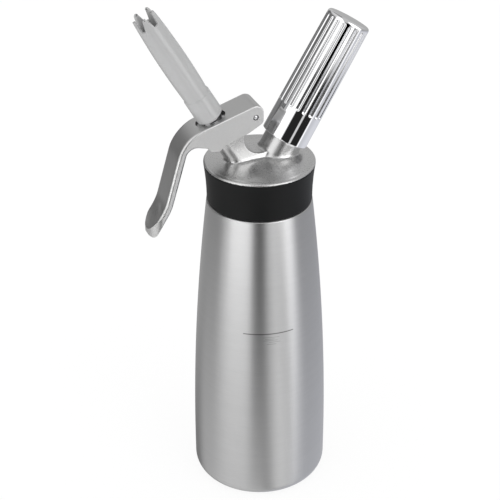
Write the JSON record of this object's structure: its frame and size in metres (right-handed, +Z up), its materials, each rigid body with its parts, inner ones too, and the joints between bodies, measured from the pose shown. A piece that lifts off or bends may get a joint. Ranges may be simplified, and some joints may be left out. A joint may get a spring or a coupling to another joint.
{
  "type": "whipped cream dispenser",
  "caption": "Steel pressure bottle with a screwed head that carries a squeeze lever with its valve, a slotted decorator tip and a fluted holder for a gas charger.",
  "frame": {"origin": "on the bottle's axis, in the plane of its flat base", "axes": "+Z up along the bottle's axis; -X towards the lever and the decorator tip, +X towards the charger holder, -Y towards the viewer of the picture"},
  "size_m": [0.129, 0.0788, 0.3016],
  "materials": {
    "bottle_steel": "brushed round the axis",
    "head_steel": "satin, bead blasted and polished at the edges",
    "lever_steel": "satin, brushed along its length",
    "pin_steel": "turned and polished",
    "spring_steel": "drawn wire",
    "charger_steel": "clear lacquer on drawn steel",
    "holder_chrome": "mirror polished",
    "black_rubber": "matt silicone",
    "grey_rubber": "matt silicone",
    "tip_plastic": "translucent, fine matt",
    "white_plastic": "matt",
    "brass": "turned"
  },
  "bodies": {
    "bottle": {"bottle": "bottle_steel"},
    "seal": {"head_gasket": "grey_rubber"},
    "head": {"head": "head_steel", "grip_ring": "black_rubber", "lever_pin": "pin_steel", "valve_guide": "white_plastic", "valve_spring": "spring_steel", "charging_valve": "brass", "charging_o_ring": "black_rubber", "piercing_pin": "pin_steel", "charger_gasket": "grey_rubber", "check_spring": "spring_steel", "check_retainer": "brass"},
    "lever": {"lever": "lever_steel"},
    "valve": {"valve_stem": "pin_steel", "stem_o_ring": "black_rubber", "valve_seal": "grey_rubber", "nozzle_adapter": "pin_steel"},
    "tip": {"decorator_tip": "tip_plastic"},
    "check": {"check_plunger": "white_plastic", "check_seal": "black_rubber"},
    "charger": {"gas_charger": "charger_steel"},
    "holder": {"charger_holder": "holder_chrome"}
  },
  "joints": [
    {"name": "head_lift", "type": "slide", "parent": "bottle", "child": "seal", "axis": [0, 0, 1], "range_m": [0, 0.012]},
    {"name": "head_turn", "type": "hinge", "parent": "seal", "child": "head", "pos_m": [0, 0, 0.184], "axis": [0, 0, 1], "range_deg": [0, 1080]},
    {"name": "lever_squeeze", "type": "hinge", "parent": "head", "child": "lever", "pos_m": [-0.0055, 0, 0.2368], "axis": [0, -1, 0], "range_deg": [0, 10]},
    {"name": "valve_push", "type": "slide", "parent": "head", "child": "valve", "axis": [0.4939, 0, -0.8695], "range_m": [0, 0.0028], "stiffness_N_per_m": 800, "springref_m": -0.003, "deforming": ["valve_spring"]},
    {"name": "tip_turn", "type": "hinge", "parent": "valve", "child": "tip", "pos_m": [-0.02825, 0, 0.23864], "axis": [-0.4939, 0, 0.8695], "range_deg": [0, 1080]},
    {"name": "charger_lift", "type": "slide", "parent": "head", "child": "charger", "axis": [0.506, 0, 0.8625], "range_m": [0, 0.0135]},
    {"name": "holder_turn", "type": "hinge", "parent": "charger", "child": "holder", "pos_m": [0.01457, 0, 0.21804], "axis": [0.506, 0, 0.8625], "range_deg": [0, 3240]},
    {"name": "check_open", "type": "slide", "parent": "head", "child": "check", "axis": [-0.506, 0, -0.8625], "range_m": [0, 0.0012], "stiffness_N_per_m": 400, "springref_m": -0.002, "deforming": ["check_spring"]}
  ],
  "couplings": [
    {"joint": "head_lift", "follows": "head_turn", "m_per_rad": 0.00063662},
    {"joint": "valve_push", "follows": "lever_squeeze", "m_per_rad": 0.016043},
    {"joint": "charger_lift", "follows": "holder_turn", "m_per_rad": 0.00023873}
  ]
}
